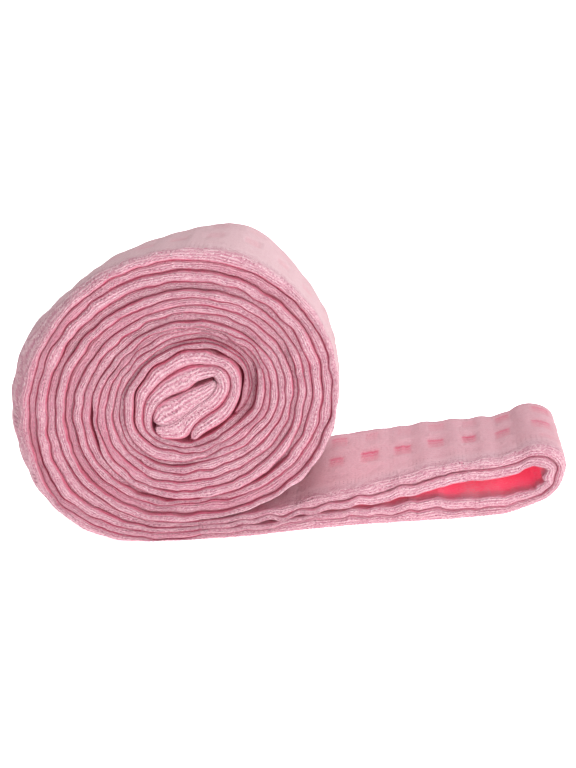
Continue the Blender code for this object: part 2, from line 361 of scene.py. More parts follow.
def fold_stations(degrees):
    """Both plies round the fold. Puckers crowd the inner face, where the cloth has too much length."""
    faces = np.stack([curve(FOLD_ROWS, column, degrees) for column in (1, 2, 3)], axis=1)
    crowd = np.exp(-(((degrees - 100) / 38) ** 2))
    faces[:, 2] += 0.9 * crowd * np.sin(np.radians(degrees) * FOLD_PUCKERS + 0.6)
    faces[:, 1] += 0.35 * crowd * np.sin(np.radians(degrees) * FOLD_PUCKERS + 1.4)
    base = (FOLD_X, FOLD_HEIGHT)
    scale = 1 - FAR_FOLD * ease(40, 150, degrees)
    return stations(base, ray(-degrees), faces, scale, swing_at(np.array(FOLD_X)), FOLD, degrees)


def tail_stations(x, columns):
    """The plies along the tail, read from these columns of its rows."""
    calm = np.clip(x / 14, 0, 1) * np.clip((FOLD_X - x) / 8, 0, 1)
    heights = []
    for column in columns:
        height = curve(TAIL_ROWS, column, x)
        ripple = rippled(x, TAIL_RIPPLE[column - 1], 70 + 5 * (column // 2))
        heights.append(height + ripple * calm)
    faces = ROLL_HEIGHT - np.stack(heights, axis=1)
    lift = curve(TAIL_ROWS, 7, x) if columns[0] > 3 else np.zeros_like(x)
    down = np.tile([0.0, -1.0], (len(x), 1))
    base = np.stack([x, np.full_like(x, ROLL_HEIGHT)], axis=1)
    return stations(base, down, faces, 1 - lift / faces[:, 0], swing_at(x), TAIL, x)


def roll_stations(wound, seams):
    """The plies between these boundaries of the roll."""
    faces = np.stack([boundary(wound, seam) for seam in seams], axis=1)
    wider = curve(SLACK_ROWS, 2, wound % 360)[:, None] * faces / 50**2
    scale = back_scale(wound)[:, None] + wider
    return stations((0.0, ROLL_HEIGHT), ray(wound), faces, scale, 0.0, ROLL, wound)


def join(parts):
    return {key: np.concatenate([part[key] for part in parts]) for key in parts[0]}


FINE_STEP = 0.5  # between two places that are read from the tables, in millimetres or degrees
CORE_SLACK = 0.15  # the open crescent between the lower run's end and the core
GHOST = 12.0  # degrees past the fold's middle, kept only until the shading is worked out


def lower_end(turn):
    """The inner face of the lower run on its last turn, which the core lies against."""
    scallops = 0.30 * np.sin(np.radians(turn) * 11)
    return curve(LOWER_END_ROWS, 1, turn) + scallops + 0.2 * waver(turn, 12, 91)


def lower_run():
    """From the fold's middle along the surface, three turns in, and the start of the core."""
    parts = [fold_stations(np.arange(90 + GHOST, 0, -1.0))]
    parts.append(tail_stations(np.arange(FOLD_X, 0, -FINE_STEP), (1, 2, 3)))
    parts.append(roll_stations(np.arange(0, 360 * TURNS, FINE_STEP), (0, 1, 2)))
    turn = np.arange(0, LOWER_END_AT + 0.1, FINE_STEP)
    wound = turn + 360 * TURNS
    outer, inner = boundary(wound, 0), lower_end(turn)
    middle = outer + (inner - outer) * (0.33 + 0.06 * waver(turn, 20, 92))
    faces = np.stack([outer, middle, inner], axis=1)
    parts.append(stations((0.0, ROLL_HEIGHT), ray(turn), faces, back_scale(turn), 0.0, CORE, wound))
    return join(parts)


def upper_run():
    """The same way on top of the lower run, then round the slit into the folded tongue."""
    parts = [fold_stations(np.arange(90 - GHOST, 180, 1.0))]
    parts.append(tail_stations(np.arange(FOLD_X, 0, -FINE_STEP), (4, 5, 6)))
    parts.append(roll_stations(np.arange(0, 360 * TURNS, FINE_STEP), (2, 3, 4)))
    turn = np.arange(0, UPPER_END_ROWS[-1][0], FINE_STEP)
    wound = turn + 360 * TURNS
    seam, inner = (curve(UPPER_END_ROWS, column, turn) for column in (1, 2))
    outer = lower_end(turn) - (CORE_SLACK * ease(40, 80, turn) + 0.2)
    faces = np.stack([outer, seam + 0.2 * waver(turn, 14, 93), inner], axis=1)
    parts.append(stations((0.0, ROLL_HEIGHT), ray(turn), faces, back_scale(turn), 0.0, CORE, wound))
    parts.append(tongue_stations())
    return join(parts)


def tongue_stations():
    """The upper run's last bend, read smoothly through the tongue's rows."""
    at = np.arange(0, len(TONGUE_PLACES) - 1 + 0.001, 0.05)
    x, height, turn, hem, seam, outer = (curve(TONGUE_PLACES, column, at) for column in range(1, 7))
    base = np.stack([x, ROLL_HEIGHT + height], axis=1)
    faces = np.stack([outer, seam, hem], axis=1)
    return stations(base, ray(turn), faces, back_scale(turn), 0.0, TONGUE, at)


def hem_stations():
    """The seam allowance turned in at the upper run's end. It fills the tongue."""
    at = np.arange(3.4, len(TONGUE_PLACES) - 1.3, 0.04)
    x, height, turn, hem = (curve(TONGUE_PLACES, column, at) for column in range(1, 5))
    base = np.stack([x, ROLL_HEIGHT + height], axis=1)
    filling = 1.2 * ease(6.2, 7.8, at) * (1 - ease(8.2, 9.0, at))  # the pad swells up to the slit
    faces = np.stack([hem, 0.25 - filling], axis=1)
    return stations(base, ray(turn), faces, back_scale(turn), 0.0, TONGUE, at)


runs = {"lower": lower_run(), "upper": upper_run(), "hem": hem_stations()}
for name, run in runs.items():
    print(name, "run:", len(run["swing"]), "stations")

# %% [markdown]
# ## From a path to a rounded wall
#
# A ply's cross-section is a closed loop: a rounded front lip where the seam is turned, the face
# side, a rounded rear lip, and the back side. Sweeping it by hand through numpy arrays gives full
# control of each lip, which a bevelled curve wouldn't. The loop has many points at the front lip,
# where the knitted rows show, and few where the neighbours hide it.

# %% Even stations along a run
STEP = 0.6  # between two stations, along the cloth
SMOOTHED_OVER = 0.7  # small steps between two stretches of a run are smoothed over this length
BACK_PLY_STOPS = 7.9  # at this row of the tongue


def evened(run):
    """The same run with evenly spaced stations, and the length of cloth from the fold's middle."""
    line = run["corners"][:, min(1, run["corners"].shape[1] - 1), 0]
    gone = np.concatenate(([0], np.cumsum(np.linalg.norm(np.diff(line, axis=0), axis=1))))
    middle = np.flatnonzero((run["kind"] == FOLD) & (np.abs(run["place"] - 90) < 1e-6))
    gone -= gone[middle[0]] if len(middle) else 0.0
    even = np.arange(math.ceil(gone[0] / STEP), math.floor(gone[-1] / STEP) + 1) * STEP
    flat = run["corners"].reshape(len(gone), -1)
    corners = np.stack([np.interp(even, gone, column) for column in flat.T], axis=1)
    weights = np.exp(-0.5 * (np.arange(-4, 5) * STEP / SMOOTHED_OVER) ** 2)
    weights /= weights.sum()
    padded = np.pad(corners, ((4, 4), (0, 0)), mode="edge")
    soft = sum(w * padded[k : k + len(corners)] for k, w in enumerate(weights))
    corners[4:-4] = soft[4:-4]
    nearest = np.clip(np.searchsorted(gone, even), 0, len(gone) - 1)
    return {
        "corners": corners.reshape(-1, *run["corners"].shape[1:]),
        "swing": np.interp(even, gone, run["swing"]),
        "kind": run["kind"][nearest],
        "place": run["place"][nearest],
        "along": even,
    }


at_fold = runs["upper"]["kind"] == FOLD  # there the upper run's faces are listed from the gap outward
runs["upper"]["corners"][at_fold] = runs["upper"]["corners"][at_fold][:, ::-1]
at_back = (runs["upper"]["kind"] != TONGUE) | (runs["upper"]["place"] < BACK_PLY_STOPS)
runs["upper_back"] = {key: values[at_back] for key, values in runs["upper"].items()}
even_runs = {name: evened(run) for name, run in runs.items()}
for name, run in even_runs.items():
    print(name, "run:", round(run["along"][-1]), "mm from the fold's middle to its end")

# %% The loop of points round a wall
LIP_POINTS, REAR_POINTS, INNER_POINTS = 31, 5, 6
REAR_ROUND = 1.2
LIP, FACE, REAR, INNER = range(4)  # the zones of the loop, in order


def loop_shape(face_points):
    """For each point of the loop: its zone, and its angle or its share of that zone."""
    lip = np.linspace(-90, 90, LIP_POINTS)
    face = np.linspace(0, 1, face_points + 2)[1:-1]
    rear = np.linspace(90, -90, REAR_POINTS)
    inner = np.linspace(1, 0, INNER_POINTS + 2)[1:-1]
    zone = np.repeat([LIP, FACE, REAR, INNER], [len(lip), len(face), len(rear), len(inner)])
    return zone, np.concatenate([lip, face, rear, inner])


def loop_places(zone, value, lip_face, lip_back):
    """How far each point lies from the front edge, and through the wall from its face side."""
    angle = np.radians(value)
    rounding = np.where(value[None] >= 0, lip_face[:, None], lip_back[:, None])
    full = 0.5 - 0.5 * np.sign(angle) * np.abs(np.sin(angle)) ** 0.85
    across = np.zeros((len(lip_face), len(zone)))
    across = np.where(zone == LIP, rounding * (1 - np.cos(angle)), across)
    flat = TIE_WIDTH - REAR_ROUND
    across = np.where(zone == FACE, lip_face[:, None] + value * (flat - lip_face[:, None]), across)
    across = np.where(zone == REAR, flat + REAR_ROUND * np.cos(angle), across)
    across = np.where(zone == INNER, lip_back[:, None] + value * (flat - lip_back[:, None]), across)
    through = np.where((zone == LIP) | (zone == REAR), full, np.where(zone == FACE, 0.0, 1.0))
    return across, np.broadcast_to(through, across.shape)


def grid_normals(grid, outward):
    """Normals of a grid that closes on itself round the loop."""
    along = np.gradient(grid, axis=0)
    around = np.roll(grid, -1, axis=1) - np.roll(grid, 1, axis=1)
    normal = np.cross(along, around)
    normal /= np.maximum(np.linalg.norm(normal, axis=2, keepdims=True), 1e-9)
    if (normal * outward).sum() < 0:
        normal = -normal
    return normal


print("a plain loop has", len(loop_shape(6)[0]), "points")

# %% [markdown]
# ## The waffle on the face
#
# The cloth is pressed into a grid: pale ridges with small sunken windows between them, where the
# pink looks deeper. The windows stand in rows along the tie, about 11 mm apart. Their relief is
# real, and the same mask goes to the material as an attribute, so colour and relief agree.

# %% The windows' mask
WINDOW_PITCH = 11.45  # along the tie
WINDOW_PHASE = 0.4
WINDOW_ROWS = (
    # share of the width from the front, half width, half length, strength, shift along
    (0.86, 4.4, 3.1, 0.70, 0.8),
    (0.54, 5.4, 3.3, 1.00, 0.0),
    (0.28, 2.2, 3.0, 0.50, 0.4),
    (0.11, 2.4, 3.2, 0.25, 0.6),
)


def windows(along, share):
    """How deep in a window each point lies, from 0 to 1, and where across it: 0 is its middle."""
    mask = np.zeros(np.broadcast(along, share).shape)
    crossing = np.zeros_like(mask)
    for number, (middle, half_width, half_length, strength, shift) in enumerate(WINDOW_ROWS):
        cell = (along - WINDOW_PHASE + shift) / WINDOW_PITCH
        index = np.round(cell)
        wander = 0.9 * waver(index * 7.3 + 31 * number, 1.0, 11)
        lengthwise = np.abs(cell - index) * WINDOW_PITCH + wander * 0.6
        crosswise = np.abs(share - middle) * TIE_WIDTH + wander * 0.5
        inside = 1 - ease(0.55, 1.25, lengthwise / half_length)
        inside = inside * (1 - ease(0.55, 1.3, crosswise / half_width))
        uneven = 0.8 + 0.2 * waver(index * 3.1 + 17 * number, 1.0, 12)
        mask = np.maximum(mask, strength * uneven * inside)
        close = np.abs(share - middle) * TIE_WIDTH < 1.5 * half_width
        crossing = np.where(close, (share - middle) * TIE_WIDTH / half_width, crossing)
    return mask, crossing


print("windows along one run:", int(even_runs["upper"]["along"][-1] / WINDOW_PITCH))

# %% [markdown]
# ## Building a ply
#
# `ply` sweeps the loop along a run. The lips lie a little unevenly: some stand forward and some
# have slipped back between their neighbours, which is where the photo shows deep pink grooves.
# Those places are named in short tables. Each mesh carries attributes for the material: one for the
# shade painted where the cloth is hidden and deep, `window` and `crossing` for the windows, one for
# the grey sheen painted on the roll's outside and on the ridges, `crease` for the shade painted
# between two strands, and `glow` for the light painted inside the gap at the fold.

# %% Places where a lip lies back or a seam stands open
SET_BACK = {
    # degrees wound from, to, how far the lip lies back, softness
    "lower_face_ply": ((610, 640, 0.9, 12), (1060, 1500, 1.1, 12), (1302, 1500, 1.8, 8)),
    "lower_back_ply": ((410, 455, 0.8, 14), (950, 1000, 0.7, 14), (1300, 1500, 2.0, 9)),
    "upper_back_ply": ((335, 400, 1.6, 14), (885, 965, 2.0, 16), (560, 600, 0.9, 15)),
    "upper_face_ply": ((300, 398, 2.6, 14), (880, 1010, 2.8, 16), (60, 100, 0.8, 15)),
}
OPEN_SEAMS = {
    # degrees wound from, to, extra gap on the ply's outer side, softness
    "lower_face_ply": ((786, 812, 0.9, 6), (400, 430, 0.4, 8), (1085, 1125, 0.4, 8)),
    "upper_back_ply": ((55, 80, 0.4, 8), (400, 440, 0.4, 10)),
}
PLY_SHADE = {"lower_back_ply": 0.30, "upper_face_ply": 0.12}  # painted shade on the lips of these plies, which lie further back in the roll
SHY = {"lower_back_ply": 1.5, "upper_back_ply": 0.2, "upper_face_ply": 1.0}  # further back in the roll


def measured(table, name, run, base):
    """A value along a run: its base, and the table's extra at each stretch of the roll."""
    total = base.copy()
    at = run["place"]
    in_roll = (run["kind"] == ROLL) | (run["kind"] == CORE)
    for low, high, extra, soft in table.get(name, ()):
        inside = ease(low - soft, low + soft, at) * (1 - ease(high - soft, high + soft, at))
        total += extra * inside * in_roll
    return total


def exposure(name, run):
    """How much of the ply's face side lies open, from 0 to 1, at each station."""
    tail, fold = run["kind"] == TAIL, run["kind"] == FOLD
    first = (run["kind"] == ROLL) & (run["place"] < 360)
    if name == "lower_face_ply":
        return np.where(tail | fold | first, 1.0, 0.0)
    if name == "upper_face_ply":
        return np.where(fold, 1.0, np.where(tail, ease(20, 34, run["place"]), 0.0))
    return np.zeros(len(tail))


for name, stretches in SET_BACK.items():
    print(name, "lies back at", len(stretches), "stretches")

# %% How each lip lies
def lip_lie(name, run, signed):
    """How far the lip lies back, and the open gaps on both sides, at each station."""
    seed = 200 + 10 * list(SET_BACK).index(name) if name in SET_BACK else 190
    near_fold = ease(2, 14, run["along"])
    shy = np.where(run["kind"] == ROLL, SHY.get(name, 0.0), 0.0)
    rolled = shy * (0.6 + 0.7 * waver(signed, 38.0, seed + 6))
    slow = np.maximum(waver(signed, 52.0, seed), 0) ** 1.5
    slack = 0.9 * slow + 0.35 * waver(signed, 17.0, seed + 1) + 0.18 * waver(signed, 5.0, seed + 2)
    back_set = measured(SET_BACK, name, run, 0.40 + (slack + rolled) * near_fold)
    back_set = np.where(run["kind"] == TONGUE, 0.25, np.maximum(back_set, 0.0))
    gap = 0.02 + 0.30 * np.maximum(waver(signed, 13.0, seed + 3) - 0.55, 0) * near_fold
    wide = measured(OPEN_SEAMS, name, run, gap)
    return (back_set, gap, wide) if name.startswith("upper") else (back_set, wide, gap)


furthest = lip_lie("upper_face_ply", even_runs["upper"], even_runs["upper"]["along"])[0].max()
print("the upper face ply's lip lies back by up to", round(float(furthest), 1), "mm")

# %% Relief of the cloth
STRAND = 0.86  # between two creases of the knitted edge
BEAD = 1.30  # between two knitted loops along a strand


def lip_relief(signed, v, across, seed):
    """Strands of knitted loops along the lip, with creases between them, and soft lumps."""
    drift = 0.30 * waver(signed, 8.0, seed + 1)[:, None] + 0.16 * waver(signed, 2.9, seed + 2)[:, None]
    strand = (v - drift) / STRAND
    number = np.round(strand)
    crease = (0.5 - 0.5 * np.cos(2 * math.pi * strand)) ** 1.4
    deep = 0.55 + 0.45 * np.maximum(waver(signed[:, None] / 8 + 5.3 * number, 1.0, seed + 3), 0)
    shift = 0.35 * waver(signed[:, None] / 6 + 3.7 * number, 1.0, seed + 9)
    loops = np.cos(2 * math.pi * (signed[:, None] / BEAD + 0.5 * number + shift))
    lumps = waver(signed, 2.1, seed + 4)[:, None] * waver(v + 50, 1.4, seed + 5)
    near = 1 - ease(5.0, 9.5, across)
    relief = 0.14 * lumps + 0.06 * loops * (1 - crease) - 0.34 * crease * deep
    return relief * near, crease * deep * near


RIDGES = ((0.71, 0.30), (0.40, 0.24), (0.22, 0.14))  # share of the width, height


def face_relief(signed, across, share, seed):
    """Sunken windows between soft ridges, on the side of the cloth that lies open."""
    window, crossing = windows(signed[:, None], share)
    squiggle = waver(signed[:, None] * 1.7 + 2.1 * np.sin(across * 3.3), 1.0, seed + 8) * window
    swell = waver(signed, 7.0, seed + 9)[:, None] * waver(across + 9, 11.0, seed + 10)
    ridge = np.zeros_like(share)
    for middle, height in RIDGES:
        bend = 0.02 * waver(signed, 16.0, seed + int(100 * middle))[:, None]
        ridge = np.maximum(ridge, height * np.exp(-(((share - middle - bend) * TIE_WIDTH / 1.3) ** 2)))
    ridge = ridge * (0.65 + 0.35 * waver(signed, 12.0, seed + 11)[:, None])
    flat_edge = 1 - 0.8 * ease(0.84, 0.95, share)
    rise = (0.10 * squiggle - 0.55 * window + 0.16 * swell + ridge) * ease(2.0, 5.0, across) * flat_edge
    return window, crossing, rise, ridge / 0.30


def shoulder(name, run, share):
    """The outermost turn is slack: its middle bulges outward between its two edges."""
    if name != "lower_face_ply":
        return 0.0
    turn = (run["kind"] == ROLL) & (run["place"] < 360)
    proud = np.where(turn, curve(SLACK_ROWS, 1, run["place"] % 360), 0.0)
    return proud[:, None] * np.sin(math.pi * np.clip(share, 0, 1)) ** 0.5


print("strands in a centimetre of lip:", round(10 / STRAND), "and ridges on the face:", len(RIDGES))

# %% How round each lip is
SLIT_FROM, CRESCENT_FROM = 1190, 1100  # degrees wound where the slit and the open crescent begin
HEM_FROM = 3.6  # at this row of the tongue


def lip_radii(name, run, thick, open_face):
    """How far the front lip rounds off towards the face side and towards the back side."""
    rolled, core, tongue = (run["kind"] == kind for kind in (ROLL, CORE, TONGUE))
    lip_back = np.clip(0.47 * thick, 0.5, 1.6)
    lip_face = lip_back * (1 + 0.9 * open_face)
    if name == "lower_face_ply":  # wide where the turn is slack, pressed flat on the table
        slack = np.where(rolled, curve(SLACK_ROWS, 1, run["place"] % 360), 0.0)
        lip_face = lip_face + open_face * (1.3 * np.maximum(slack, 0))
        pressed = np.where(rolled, 1 - ease(10, 35, run["place"]), run["kind"] == TAIL)
        lip_face = lip_face + (1.3 - lip_face) * pressed
    if name == "upper_face_ply":  # a soft wide lip beside the slit, a tight one beside the hem
        at_hem = tongue & (run["place"] >= HEM_FROM)
        by_slit = (core & (run["place"] > SLIT_FROM)) | (tongue & ~at_hem)
        lip_face = np.where(by_slit, 1.9, np.where(at_hem, 0.5, lip_face))
    if name == "upper_back_ply":  # its outer side rounds away into the open crescent
        lip_back = np.where(core & (run["place"] > CRESCENT_FROM), 1.7, lip_back)
    if name == "hem":
        lip_face, lip_back = np.full_like(lip_face, 0.35), np.full_like(lip_back, 1.0)
    return lip_face, lip_back


print("wound degrees where the crescent and the slit begin:", CRESCENT_FROM, SLIT_FROM)

# %% The plain wall of a ply
END_ROUND = 2.2  # over this length a ply's end rounds off


def between(corners, side, share):
    """Points on one side of the wall, by their share of the tie's width."""
    front, back = corners[:, side, 0][:, None], corners[:, side, 1][:, None]
    return front + (back - front) * share[..., None]


def plain_wall(name, run, face_side, back_side, face_points):
    """A ply's points before its relief, and what is known of its stations and of its loop."""
    signed = run["along"] * (-1 if name.startswith("lower") else 1)
    open_face = exposure(name, run)
    back_set, face_gap, back_gap = lip_lie(name, run, signed)
    corners = run["corners"]
    thick = np.linalg.norm(corners[:, face_side, 0] - corners[:, back_side, 0], axis=1)
    lip_face, lip_back = lip_radii(name, run, thick, open_face)
    zone, value = loop_shape(face_points)
    across, through = loop_places(zone, value, lip_face, lip_back)
    across = back_set[:, None] + across * (1 - back_set[:, None] / TIE_WIDTH)

    walls = np.maximum(thick, 0.3)
    shut = np.clip(1 - (face_gap + back_gap) / walls, 0.2, 1)
    through = (face_gap / walls)[:, None] + through * shut[:, None]
    left = np.clip(run["along"][-1] - run["along"], 0, None)
    end = np.sqrt(np.clip(1 - (1 - np.clip(left / END_ROUND, 0, 1)) ** 2, 0.02, 1))[:, None]
    through = 0.5 + (through - 0.5) * end
    across = across + 1.2 * (1 - end) * (1 - 2 * across / TIE_WIDTH)

    share = across / TIE_WIDTH
    face, back = between(corners, face_side, share), between(corners, back_side, share)
    flat = face + (back - face) * through[..., None]
    y = ROLL_Y - TIE_WIDTH / 2 + across + run["swing"][:, None]
    return {
        "name": name,
        "run": run,
        "signed": signed,
        "seed": 100 if name.endswith("face_ply") else 130,
        "open_face": open_face,
        "back_set": back_set,
        "lips": (lip_face, lip_back),
        "zone": zone,
        "value": value,
        "across": across,
        "grid": np.stack([flat[..., 0] + ROLL_X, y, flat[..., 1]], axis=2),
    }


print("the end of a ply rounds off over", END_ROUND, "mm")

# %% The relief of a ply
USUAL_LIP, USUAL_WALL = 1.5, 3.0  # a lip's radius and a wall's thickness


def loop_lengths(zone, value):
    """The cloth coordinate round a loop of usual thickness. It is 0 in the middle of the lip."""
    usual = np.full(1, USUAL_LIP)
    walk, through = loop_places(zone, value, usual, usual)
    ahead = np.diff(walk[0], append=walk[0, :1])
    inward = USUAL_WALL * np.diff(through[0], append=through[0, :1])
    total = np.concatenate(([0], np.cumsum(np.hypot(ahead, inward))))
    return total - total[LIP_POINTS // 2]


def cloth_relief(wall):
    """How far the cloth stands out of its plain wall, and the marks that the material shows."""
    zone, value, across, share = wall["zone"], wall["value"], wall["across"], wall["across"] / TIE_WIDTH
    signed, seed, open_face = wall["signed"], wall["seed"], wall["open_face"][:, None]
    v = loop_lengths(zone, value)[None, :-1]
    lip = (zone == LIP)[None] | ((zone == FACE)[None] & (open_face > 0.5))
    hold = np.where(zone == LIP, np.cos(np.radians(value)) ** 0.5, 1.0)[None]
    hold = np.where(((zone == LIP) & (value > 0))[None] & (open_face > 0.5), 1.0, hold)
    strands, crease = lip_relief(signed, v, across, seed)
    window, crossing, sunken, ridge = face_relief(signed, across, share, seed)
    on_face = (zone == FACE)[None] * open_face
    rounded = ((zone == LIP) | (zone == REAR)) & (value > 0)
    turned_out = np.where(rounded, np.sin(np.radians(value)) ** 2, zone == FACE)[None]
    relief = strands * lip * hold
    relief += sunken * on_face + shoulder(wall["name"], wall["run"], share) * turned_out
    crease = crease * lip * np.where(zone == LIP, 1.0, 0.5)[None]
    return relief, {"window": window, "crossing": crossing, "ridge": ridge, "crease": crease}


lengths = loop_lengths(*loop_shape(6))
print("round a ply of usual thickness:", round(float(lengths[-1] - lengths[0])), "mm")

# %% What the material needs to know
def painted_groove_shade(wall, open_part):
    """How much shade is painted on each point, from 0 in the open to 1 deep between its neighbours."""
    run, zone, across, back_set = wall["run"], wall["zone"], wall["across"], wall["back_set"][:, None]
    lip_face, lip_back = wall["lips"]
    lip_used = np.where(wall["value"] > 0, lip_face[:, None], lip_back[:, None])
    depth = ease(0.0, 0.62, (across - back_set) / np.maximum(lip_used, 0.3))
    covered = np.where(open_part, 1 - wall["open_face"][:, None], 1.0)
    if wall["name"] == "hem":
        covered = np.where(open_part, 0.25, 0.8)
    if wall["name"] == "upper_face_ply":
        at_hem = (run["kind"] == TONGUE) & (run["place"] > HEM_FROM)
        covered = np.where(open_part & at_hem[:, None], 0.25, covered)
    # painted shade: darker deep between the neighbours and on a lip that lies back, less on the lit rear edge
    tucked = depth * covered + 0.05 * back_set * (zone == LIP)[None]
    lit_rear = ease(TIE_WIDTH - 1.3, TIE_WIDTH - 0.4, across)
    tucked = tucked * (1 - 0.85 * lit_rear)
    return tucked * (0.82 + 0.18 * waver(wall["signed"], 6.0, wall["seed"] + 12)[:, None])


def shading(wall, marks):
    """The attributes that steer the material, from 0 to 1, and the place across a window."""
    name, run, zone, across = wall["name"], wall["run"], wall["zone"], wall["across"]
    tail, fold, rolled = (run["kind"] == kind for kind in (TAIL, FOLD, ROLL))
    open_part = ((zone == FACE) | ((zone == LIP) & (wall["value"] > 0)))[None]
    # painted light: inside the loop at the fold, the pink light that comes through the thin cloth and bounces
    # between its walls
    in_loop = name.endswith("back_ply") * (fold | (tail & (run["place"] > 40)))
    glow = in_loop[:, None] * (zone == INNER)[None] * ease(0.3, 1.8, across)

    tucked = painted_groove_shade(wall, open_part)
    tucked = np.where((tail | fold)[:, None] & (glow < 0.05), 0.72 * tucked, tucked)
    # painted shade on the roll's left side, where less light falls, added to the painted shade of the plies
    # that lie back
    left_side_shade = rolled * np.exp(-(((run["place"] % 360 - 95) / 42) ** 2))
    shade_in_roll = PLY_SHADE.get(name, 0.0) * rolled + 0.20 * left_side_shade
    shade_in_roll = shade_in_roll * (0.7 + 0.5 * waver(wall["signed"], 21.0, wall["seed"] + 13))
    tucked = np.maximum(tucked, shade_in_roll[:, None])

    on_face = (zone == FACE)[None] * wall["open_face"][:, None]
    # painted sheen: the outside of the roll turns grey towards its left and top, and the face's ridges turn
    # grey, where grazing light whitens the fuzz
    outside = rolled & (run["place"] < 360) & (name == "lower_face_ply")
    sheen_amount = 0.25 * ease(10, 40, run["place"]) + 0.7 * ease(95, 150, run["place"])
    dusty = np.where(outside, sheen_amount, 0.0)[:, None] * ease(0.8, 3.5, across) * open_part
    dusty = np.maximum(dusty, 0.45 * marks["ridge"] * on_face * ease(3, 8, across))
    window = np.maximum(marks["window"], 0.34 * ease(5, 12, across))
    window = window * on_face * (1 - 0.62 * outside)[:, None]
    shown = {"tucked": tucked, "window": window, "dusty": dusty, "glow": glow, "crease": marks["crease"]}
    shown = {key: np.clip(values, 0, 1) for key, values in shown.items()}
    return shown | {"crossing": marks["crossing"]}


print("duskier in the roll:", ", ".join(PLY_SHADE))

# %% A whole ply
def ply(name, run, face_side, back_side, face_points):
    """The grid of points of one ply, its normals, and what the material needs to know."""
    wall = plain_wall(name, run, face_side, back_side, face_points)
    outward = wall["grid"] - wall["grid"].mean(axis=1, keepdims=True)
    relief, marks = cloth_relief(wall)
    grid = wall["grid"] + grid_normals(wall["grid"], outward) * relief[..., None]
    grid[..., 2] = np.maximum(grid[..., 2], 0.0)
    return {
        "grid": grid,
        "normal": grid_normals(grid, outward),
        "along": wall["signed"],
        "round_it": loop_lengths(wall["zone"], wall["value"]),
        "attributes": shading(wall, marks),
        "keep": run["along"] > -1e-6,
    }


print("a face ply's grid has", len(loop_shape(23)[0]), "points at each station")

# %% [markdown]
# ## From grids to meshes
#
# A grid of points becomes a mesh when each band of it is filled with quads. Blender can add faces
# one by one, but long arrays handed over at once are far quicker. Each end of a ply is closed with
# one many-sided cap, so the mesh has no open edge. The cloth's own coordinates become a UV map.

# %% Turning a grid into a mesh
def faces_of(rows, columns, flip):
    """Loops and sizes of the quads round each band, and of the two end caps."""
    index = np.arange(rows * columns).reshape(rows, columns)
    after = np.roll(index, -1, axis=1)
    quads = np.stack([index[:-1], index[1:], after[1:], after[:-1]], axis=-1).reshape(-1, 4)
    caps = [index[0], index[-1][::-1]]
    if flip:
        quads, caps = quads[:, ::-1], [cap[::-1] for cap in caps]
    return quads, np.concatenate([quads.ravel(), *caps]), [4] * len(quads) + [columns] * 2


def as_mesh(name, data):
    """A closed mesh from a grid, with cloth coordinates in centimetres, attributes and normals."""
    keep = data["keep"]
    grid, normal, along = data["grid"][keep], data["normal"][keep], data["along"][keep]
    rows, columns = grid.shape[:2]
    facing = np.cross(grid[1:, 0] - grid[:-1, 0], grid[:-1, 1] - grid[:-1, 0])
    quads, loops, sizes = faces_of(rows, columns, (facing * normal[:-1, 0]).sum() < 0)

    mesh = bpy.data.meshes.new(name)
    mesh.vertices.add(rows * columns)
    mesh.vertices.foreach_set("co", (grid * MM).astype(np.float32).ravel())
    mesh.loops.add(len(loops))
    mesh.loops.foreach_set("vertex_index", loops.astype(np.int32))
    mesh.polygons.add(len(sizes))
    starts = np.concatenate([[0], np.cumsum(sizes)[:-1]])
    mesh.polygons.foreach_set("loop_start", starts.astype(np.int32))
    mesh.polygons.foreach_set("loop_total", np.array(sizes, dtype=np.int32))
    mesh.update(calc_edges=True)

    u = np.repeat(along, columns)[loops]
    v = np.tile(data["round_it"][:-1], rows)[loops]
    column = quads % columns
    closing = (column == 0) & (column > 1).any(axis=1)[:, None]
    v[: quads.size] = np.where(closing.ravel(), data["round_it"][-1], v[: quads.size])
    cloth = mesh.uv_layers.new(name="cloth")
    cloth.data.foreach_set("uv", (np.stack([u, v], axis=1) / 10).astype(np.float32).ravel())
    for key, values in data["attributes"].items():
        attribute = mesh.attributes.new(key, "FLOAT", "POINT")
        attribute.data.foreach_set("value", values[keep].astype(np.float32).ravel())
    mesh.shade_smooth()
    mesh.normals_split_custom_set_from_vertices(normal.reshape(-1, 3).tolist())
    return mesh


print("three rings of four points have", len(faces_of(3, 4, False)[0]), "quads between them")

# %% Placing a piece of cloth
def place_cloth(name, mesh, nodes, length):
    """Adds a piece of cloth to the scene and says what it is."""
    piece = bpy.data.objects.new(name, mesh)
    bpy.context.scene.collection.objects.link(piece)
    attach(piece, "root")
    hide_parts(*nodes)
    print(name, "has", len(mesh.polygons), "faces and is", round(length), "mm long")
    return piece


# %% Where the seams are sewn
STITCH_ROW = -0.40  # from the middle of the lip
STITCH_PROUD = 0.10  # the thread stands out of its crease by this


def seam_line(data):
    """Points along a ply's lip, in the crease where its two turned edges are sewn together."""
    column = int(np.argmin(np.abs(data["round_it"][:LIP_POINTS] - STITCH_ROW)))
    line = data["grid"][:, column] + STITCH_PROUD * data["normal"][:, column]
    return line[data["keep"]]


print("the stitches stand out by", STITCH_PROUD, "mm")

